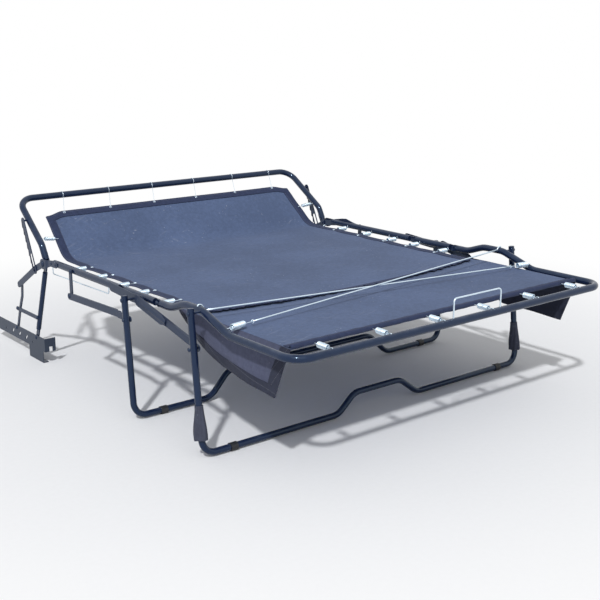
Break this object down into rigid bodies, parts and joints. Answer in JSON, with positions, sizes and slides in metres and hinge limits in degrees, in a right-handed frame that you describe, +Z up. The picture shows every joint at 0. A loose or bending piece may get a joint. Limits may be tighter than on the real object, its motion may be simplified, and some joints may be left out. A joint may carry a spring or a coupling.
{
  "type": "sofa bed mechanism",
  "caption": "Fold-out sofa bed frame: sprung fabric deck in hinged tube sections on folding legs, carried by lift arms on slotted mounting rails.",
  "frame": {"origin": "middle of the overall box, on the floor", "axes": "+Z up, +Y towards the back of the sofa, +X to the right seen from the foot end"},
  "size_m": [1.502, 2.0554, 0.6377],
  "materials": {
    "frame_paint": "satin",
    "link_paint": "satin",
    "rail_steel": "satin",
    "zinc_wire": "bright zinc",
    "deck_fabric": "woven",
    "wrap_fabric": "woven",
    "glide_plastic": "matte"
  },
  "bodies": {
    "rails": {"mounting_rail_left": "rail_steel", "mounting_rail_right": "rail_steel"},
    "lift_arms": {"lift_arm_left": "frame_paint", "lift_arm_right": "frame_paint"},
    "tie_links": {"tie_links": "link_paint"},
    "rear_links": {"rear_links": "link_paint"},
    "body_section": {"body_rail_left": "frame_paint", "body_rail_right": "frame_paint", "head_brace_left": "link_paint", "head_brace_right": "link_paint", "leg_plates": "link_paint", "deck_body": "deck_fabric", "body_springs": "zinc_wire", "control_rods": "zinc_wire"},
    "head_section": {"head_tube": "frame_paint", "deck_head": "deck_fabric", "head_wires": "zinc_wire"},
    "ratchet_links": {"ratchet_links": "link_paint"},
    "middle_legs": {"middle_leg": "frame_paint", "middle_glides": "glide_plastic"},
    "leg_cranks": {"leg_cranks": "link_paint"},
    "leg_links": {"leg_links": "link_paint"},
    "middle_section": {"middle_rail_left": "frame_paint", "middle_rail_right": "frame_paint", "deck_middle": "deck_fabric", "middle_springs": "zinc_wire"},
    "foot_section": {"foot_tube": "frame_paint", "deck_foot": "deck_fabric", "side_flaps": "deck_fabric", "front_springs": "zinc_wire", "brace_wires": "zinc_wire", "handle": "zinc_wire"},
    "front_legs": {"front_leg": "frame_paint", "front_glides": "glide_plastic", "leg_wraps": "wrap_fabric"},
    "leg_stays": {"leg_stays": "link_paint"}
  },
  "joints": [
    {"name": "stow", "type": "hinge", "parent": "rails", "child": "lift_arms", "pos_m": [0, 0.616, 0.092], "axis": [-1, 0, 0], "range_deg": [0, 80]},
    {"name": "body_level", "type": "hinge", "parent": "lift_arms", "child": "body_section", "pos_m": [0, 0.494, 0.412], "axis": [1, 0, 0], "range_deg": [0, 80]},
    {"name": "rear_link_swing", "type": "hinge", "parent": "rails", "child": "rear_links", "pos_m": [0, 0.799, 0.092], "axis": [-1, 0, 0], "range_deg": [0, 80]},
    {"name": "tie_level", "type": "hinge", "parent": "lift_arms", "child": "tie_links", "pos_m": [0, 0.5818, 0.1817], "axis": [1, 0, 0], "range_deg": [0, 80]},
    {"name": "head_tilt", "type": "hinge", "parent": "body_section", "child": "head_section", "pos_m": [0, 0.494, 0.412], "axis": [-1, 0, 0], "range_deg": [0, 40]},
    {"name": "ratchet_swing", "type": "hinge", "parent": "head_section", "child": "ratchet_links", "pos_m": [0, 0.64447, 0.55663], "axis": [-1, 0, 0], "range_deg": [0, 6]},
    {"name": "middle_leg_fold", "type": "hinge", "parent": "body_section", "child": "middle_legs", "pos_m": [0, -0.173, 0.411], "axis": [1, 0, 0], "range_deg": [0, 80]},
    {"name": "crank_swing", "type": "hinge", "parent": "body_section", "child": "leg_cranks", "pos_m": [0, 0.266, 0.424], "axis": [-1, 0, 0], "range_deg": [0, 7.4]},
    {"name": "leg_link_swing", "type": "hinge", "parent": "leg_cranks", "child": "leg_links", "pos_m": [0, 0.266, 0.333], "axis": [-1, 0, 0], "range_deg": [0, 11.1]},
    {"name": "first_fold", "type": "hinge", "parent": "body_section", "child": "middle_section", "pos_m": [0, -0.086, 0.424], "axis": [-1, 0, 0], "range_deg": [0, 90]},
    {"name": "second_fold", "type": "hinge", "parent": "middle_section", "child": "foot_section", "pos_m": [0, -0.316, 0.424], "axis": [-1, 0, 0], "range_deg": [0, 90]},
    {"name": "front_leg_fold", "type": "hinge", "parent": "foot_section", "child": "front_legs", "pos_m": [0, -0.571, 0.451], "axis": [1, 0, 0], "range_deg": [0, 95.6]},
    {"name": "stay_swing", "type": "hinge", "parent": "body_section", "child": "leg_stays", "pos_m": [0, -0.23, 0.417], "axis": [-1, 0, 0], "range_deg": [0, 157.8]}
  ],
  "couplings": [
    {"joint": "body_level", "follows": "stow", "ratio": 1},
    {"joint": "rear_link_swing", "follows": "stow", "ratio": 1},
    {"joint": "tie_level", "follows": "stow", "ratio": 1},
    {"joint": "ratchet_swing", "follows": "head_tilt", "ratio": 0.15},
    {"joint": "middle_leg_fold", "follows": "stow", "ratio": 1},
    {"joint": "crank_swing", "follows": "stow", "ratio": 0.0925},
    {"joint": "leg_link_swing", "follows": "stow", "ratio": 0.13875},
    {"joint": "first_fold", "follows": "stow", "ratio": 1.125},
    {"joint": "second_fold", "follows": "stow", "ratio": 1.125},
    {"joint": "front_leg_fold", "follows": "stow", "ratio": 1.195},
    {"joint": "stay_swing", "follows": "stow", "ratio": 1.9725}
  ]
}
